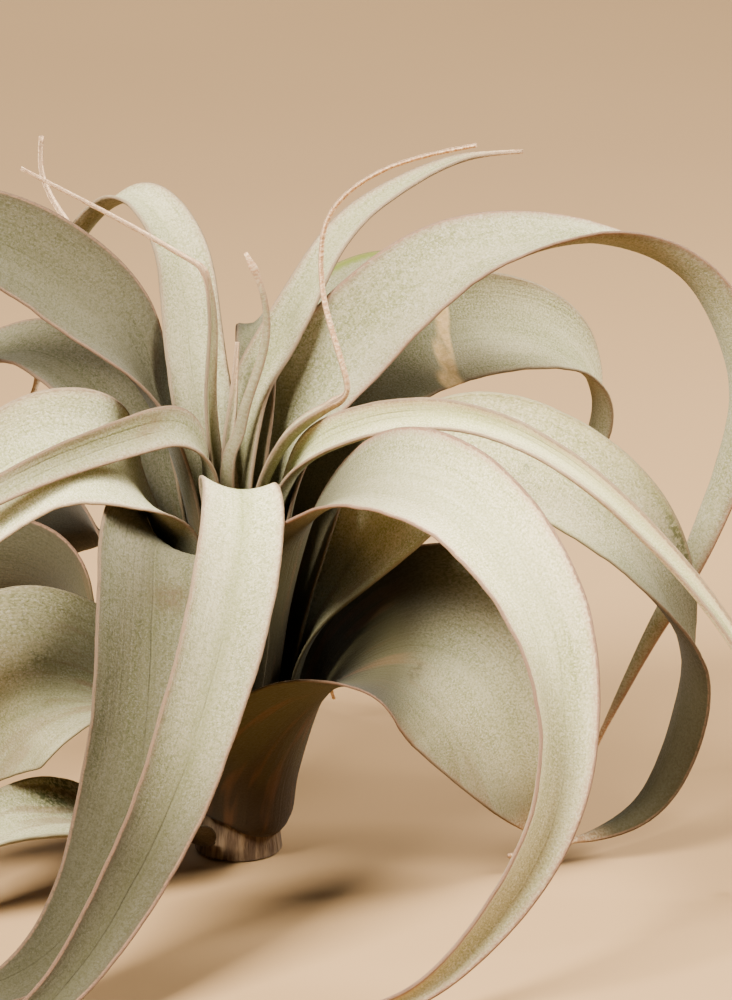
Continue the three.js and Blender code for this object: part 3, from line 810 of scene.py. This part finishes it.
class Nodes:
    """A node material under construction. Each method adds a node and gives its output."""

    def __init__(self, name):
        self.material = bpy.data.materials.new(name)
        self.material.use_nodes = True
        self.tree = self.material.node_tree
        self.tree.nodes.clear()

    def add(self, kind, inputs=None, **values):
        node = self.tree.nodes.new(kind)
        for key, value in values.items():
            setattr(node, key, value)
        for key, value in (inputs or {}).items():
            self.put(node.inputs[key], value)
        return node

    def put(self, socket, value):
        if isinstance(value, bpy.types.NodeSocket):
            self.tree.links.new(value, socket)
        else:
            socket.default_value = value

    def math(self, operation, *values, clamp=False):
        node = self.add("ShaderNodeMath", operation=operation, use_clamp=clamp)
        for socket, value in zip(node.inputs, values):
            self.put(socket, value)
        return node.outputs[0]

    def times(self, a, b, clamp=False):
        return self.math("MULTIPLY", a, b, clamp=clamp)

    def plus(self, a, b):
        return self.math("ADD", a, b)

    def minus(self, a, b, clamp=False):
        return self.math("SUBTRACT", a, b, clamp=clamp)

    def object_place(self):
        return self.add("ShaderNodeTexCoord").outputs["Object"]

    def attribute(self, name):
        return self.add("ShaderNodeAttribute", attribute_name=name).outputs["Vector"]

    def parts(self, name):
        """The three numbers of an attribute."""
        return self.add("ShaderNodeSeparateXYZ", inputs={0: self.attribute(name)}).outputs[:3]

    def scaled(self, vector, scale, offset=(0, 0, 0)):
        inputs = {"Vector": vector, "Scale": scale, "Location": offset}
        return self.add("ShaderNodeMapping", inputs=inputs).outputs[0]

    def noise(self, vector, scale=1.0, detail=2.0, roughness=0.5):
        inputs = {"Vector": vector, "Scale": scale, "Detail": detail, "Roughness": roughness}
        return self.add("ShaderNodeTexNoise", inputs=inputs).outputs["Fac"]

    def ramp(self, value, low, high, out_low=0.0, out_high=1.0):
        inputs = {
            "Value": value, "From Min": low, "From Max": high, "To Min": out_low, "To Max": out_high,
        }
        node = self.add("ShaderNodeMapRange", inputs=inputs, interpolation_type="SMOOTHSTEP")
        return node.outputs[0]

    def mix(self, factor, a, b):
        node = self.add("ShaderNodeMix", data_type="RGBA", blend_type="MIX", clamp_factor=True)
        self.put(node.inputs[0], factor)
        for socket, value in ((node.inputs[6], a), (node.inputs[7], b)):
            self.put(socket, value if isinstance(value, bpy.types.NodeSocket) else (*value, 1.0))
        return node.outputs[2]

    def finish(self, color, roughness, height=None, depth=0.0, constants=()):
        shader = self.add("ShaderNodeBsdfPrincipled")
        self.put(shader.inputs["Base Color"], color)
        self.put(shader.inputs["Roughness"], roughness)
        for key, value in dict(constants).items():
            shader.inputs[key].default_value = value
        if height is not None:
            bump = self.add("ShaderNodeBump", inputs={"Height": height, "Distance": depth, "Strength": 1.0})
            self.put(shader.inputs["Normal"], bump.outputs[0])
        output = self.add("ShaderNodeOutputMaterial")
        self.tree.links.new(shader.outputs[0], output.inputs[0])
        return self.material


def leaf_patterns(n):
    """Noises over the leaf, whose flat attribute is mm across, mm along and a slice of its own."""
    flat = n.attribute("flat")
    return SimpleNamespace(
        flat=flat,
        grain=n.noise(flat, 2.1, 3.0, 0.7),
        fleck=n.noise(flat, 2.6, 1.0, 0.5),
        cells=n.noise(flat, 0.85, 2.0, 0.6),
        cloud=n.noise(n.scaled(flat, (0.16, 0.045, 1.0)), 1.0, 3.0, 0.55),
        streak=n.noise(n.scaled(flat, (1.35, 0.02, 1.0)), 1.0, 2.0, 0.5),
        patch=n.noise(n.scaled(flat, (0.07, 0.022, 1.0), (7, 3, 0)), 1.0, 2.0, 0.5),
        stain=n.noise(n.scaled(flat, (0.3, 0.05, 1.0), (3, 0, 0)), 1.0, 2.0, 0.5),
        jitter=n.noise(n.scaled(flat, (0.3, 1.1, 1.0)), 1.0, 3.0, 0.65),
        breaks=n.noise(n.scaled(flat, (0.1, 0.03, 1.0)), 1.0, 2.0, 0.6),
    )


def silver_coat(n, look):
    """Sage blade under pale scales, with dark pits and cream flecks."""
    body = n.mix(n.ramp(look.cloud, 0.3, 0.7), *SAGE)
    silver = n.mix(n.ramp(look.patch, 0.35, 0.68), *SILVER)
    scales = n.times(n.ramp(look.grain, 0.42, 0.58), n.ramp(look.cells, 0.25, 0.6, 0.55, 1.0))
    cover = n.plus(n.times(scales, 0.6), n.ramp(look.cloud, 0.25, 0.75, 0.16, 0.42))
    cover = n.minus(cover, n.ramp(look.streak, 0.5, 0.74, 0.0, 0.26))
    color = n.mix(cover, body, silver)
    color = n.mix(n.ramp(look.grain, 0.44, 0.31, 0.0, 0.42), color, PIT)
    return n.mix(n.ramp(look.fleck, 0.56, 0.66, 0.0, 0.75), color, FLECK)


def creases(n, look, color):
    """Creases along the blade: a soft shade with a broken line in it."""
    first, second, strength = n.parts("lines")
    near = n.math("MINIMUM", n.math("ABSOLUTE", first), n.math("ABSOLUTE", second))
    line = n.times(n.ramp(near, CREASE_HALF, 0.06), strength)
    line = n.times(line, n.ramp(look.breaks, 0.4, 0.6, 0.15, 1.0))
    halo = n.times(n.ramp(near, CREASE_HALO, 0.2, 0.0, 0.42), strength, clamp=True)
    color = n.mix(halo, color, CREASE_SHADE)
    return n.mix(n.times(line, 0.28, clamp=True), color, CREASE_LINE), line


def scuffs(n, look, color, rust, green):
    """Speckled rust and green marks."""
    color = n.mix(n.times(rust, n.ramp(look.cells, 0.32, 0.62, 0.3, 0.8)), color, RUST)
    return n.mix(n.times(green, n.ramp(look.cells, 0.42, 0.56)), color, SCUFF_GREEN)


def margins(n, look, color, edge, pink, lime):
    """Pink grain along the margins, and lime where the leaf is green there."""
    ragged = n.minus(edge, n.times(look.jitter, 1.5))
    blush = n.times(n.ramp(ragged, 1.1, -0.5), pink)
    blush = n.times(blush, n.ramp(look.grain, 0.36, 0.6, 1.0, 0.45))
    color = n.mix(n.times(blush, 0.7, clamp=True), color, BLUSH)
    glow = n.times(n.ramp(ragged, 1.8, -0.6), n.times(lime, 0.5), clamp=True)
    return n.mix(glow, color, LIME)


def coat_light_and_shade(n, color, bloom_and_shading):
    """A thin coating leaves the blade dark, a thick one whitens it: the nearly black end is painted shade,
    the near white end painted highlight.
    """
    # Painted shade: a thin coating takes the blade towards nearly black.
    thin = n.minus(1.0, n.times(bloom_and_shading, 0.95), clamp=True)
    color = n.mix(thin, color, BARE_BLADE_AND_SHADE)
    # Painted highlight: a coating above 1.05 takes the blade towards near white.
    return n.mix(n.ramp(bloom_and_shading, 1.05, 1.6, 0.0, 0.7), color, THICK_COAT_AND_LIGHT)


def brown_rim(n, look, color, edge, pink):
    """The very edge is a thin brown line, strongest on the pink leaves."""
    rim = n.times(n.ramp(edge, RIM_WIDTH, 0.12), n.ramp(look.jitter, 0.36, 0.56, 0.35, 1.0))
    rim = n.times(rim, n.plus(n.times(pink, 0.6), 0.2), clamp=True)
    return n.mix(rim, color, RIM_BROWN)


def funnel_shade_and_stains(n, look, color, deep, face, along):
    """Olive to brown deep in the rosette where a leaf wraps its neighbours: partly the sheaths' own colour,
    partly painted shade.
    """
    inside = n.ramp(face, 0.0, 1.0, 1.0, 0.72)
    # Painted shade: olive darkening deep in the funnel, stronger on the outer face.
    olive = n.times(n.times(n.ramp(deep, 0.0, 0.7), 0.8), inside)
    color = n.mix(olive, color, OLIVE_AND_SHADE)
    # Brown near the base: the sheaths' own colour, made nearly black as painted shade deep in the funnel.
    low = n.plus(along, n.times(n.minus(look.cloud, 0.5), 30.0))
    brown = n.times(n.ramp(low, BROWN_LENGTH, 6.0), deep)
    color = n.mix(n.times(brown, 0.85), color, BROWN_AND_SHADE)
    stain = n.times(n.ramp(look.stain, 0.52, 0.66), deep)
    return n.mix(n.times(stain, 0.45), color, STAIN)


def scar_skin(n, look, color, scar):
    """Pale tan skin over a scar."""
    skin = n.mix(n.ramp(look.cells, 0.35, 0.65), *SCAR_SKIN)
    return n.mix(n.times(n.ramp(scar, 0.12, 0.6), 0.9), color, skin)


def dried_tip(n, look, color, dry):
    """Tan and speckled where the tip has dried."""
    ends = n.mix(n.ramp(look.grain, 0.4, 0.62), *DRIED)
    ends = n.mix(n.ramp(look.cells, 0.55, 0.72, 0.0, 0.7), ends, DRIED_DARK)
    return n.mix(n.times(dry, 0.96), color, ends)


def leaf_material():
    n = Nodes("leaf")
    look = leaf_patterns(n)
    dry, along, edge = n.parts("state")
    face, lime, _ = n.parts("side")
    rust, green, scar = n.parts("marks")
    deep, bloom_and_shading, pink = n.parts("tone")

    color = silver_coat(n, look)
    color, line = creases(n, look, color)
    color = scuffs(n, look, color, rust, green)
    color = margins(n, look, color, edge, pink, lime)
    color = coat_light_and_shade(n, color, bloom_and_shading)
    color = brown_rim(n, look, color, edge, pink)
    color = funnel_shade_and_stains(n, look, color, deep, face, along)
    color = scar_skin(n, look, color, scar)
    color = dried_tip(n, look, color, dry)

    height = n.plus(n.times(look.grain, 0.6), n.times(look.streak, 0.5))
    height = n.plus(height, n.times(n.times(look.cells, dry), 2.0))
    height = n.minus(height, n.times(line, 0.5))
    roughness = n.ramp(look.grain, 0.3, 0.7, 0.9, 0.68)
    sheen = {"Sheen Weight": 0.04, "Sheen Roughness": 0.6, "IOR": 1.4, "Specular IOR Level": 0.2}
    return n.finish(color, roughness, height, LEAF_BUMP, sheen)


def stem_material():
    n = Nodes("stem")
    place = n.object_place()
    fibre = n.noise(n.scaled(place, (900, 900, 90)), 1.0, 3.0, 0.6)
    patch = n.noise(place, 120.0, 2.0, 0.5)
    color = n.mix(n.ramp(fibre, 0.35, 0.65), *FIBRE)
    color = n.mix(n.ramp(patch, 0.5, 0.75, 0.0, 0.5), color, FIBRE_DARK)
    return n.finish(color, n.ramp(fibre, 0.3, 0.7, 0.95, 0.8), fibre, STEM_BUMP)


def floor_material():
    n = Nodes("floor")
    soft = n.noise(n.object_place(), 3.0, 2.0, 0.5)
    return n.finish(n.mix(n.ramp(soft, 0.3, 0.7), *FLOOR), 0.9)


# Studio


def point(obj, place, aim):
    obj.location = place
    obj.rotation_euler = (Vector(aim) - Vector(place)).to_track_quat("-Z", "Y").to_euler()


def area_light(name, place, aim, size, power):
    data = bpy.data.lights.new(name, "AREA")
    data.shape = "RECTANGLE"
    data.size, data.size_y = size
    data.energy = power
    data.color = WARM
    point(add_object(name, data), place, aim)


def build_floor():
    ground = bpy.data.meshes.new("floor")
    corners = [(x * FLOOR_HALF, y * FLOOR_HALF, 0) for x, y in ((-1, -1), (1, -1), (1, 1), (-1, 1))]
    ground.from_pydata(corners, [], [(0, 1, 2, 3)])
    ground.materials.append(floor_material())
    floor = add_object("floor", ground)
    floor.location = (0, 0, -FLOOR_DROP)


def build_world():
    world = bpy.data.worlds.new("studio")
    bpy.context.scene.world = world
    world.use_nodes = True
    background = world.node_tree.nodes["Background"]
    background.inputs["Color"].default_value = (*AMBIENT, 1)
    background.inputs["Strength"].default_value = AMBIENT_STRENGTH


def build_camera():
    data = bpy.data.cameras.new("camera")
    data.sensor_width = CAMERA_SENSOR
    data.lens = CAMERA_LENS
    camera = add_object("camera", data)
    back = Vector((0, -math.cos(CAMERA_ELEVATION), math.sin(CAMERA_ELEVATION)))
    point(camera, CAMERA_TARGET + back * CAMERA_DISTANCE, CAMERA_TARGET)
    bpy.context.scene.camera = camera


leaf_coat = leaf_material()
for number, row in enumerate(LEAVES, 1):
    piece = ribbon("ribbon_%02d" % number, {**DEFAULTS, **row}, 100 * number)
    piece.data.materials.append(leaf_coat)
    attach(piece, "root")
    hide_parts("leaf_%02d" % number)

stem_bark = stem_material()
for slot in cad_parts["stem"].material_slots:
    slot.material = stem_bark

build_floor()
for lamp in LAMPS:
    area_light(*lamp)
build_world()
build_camera()
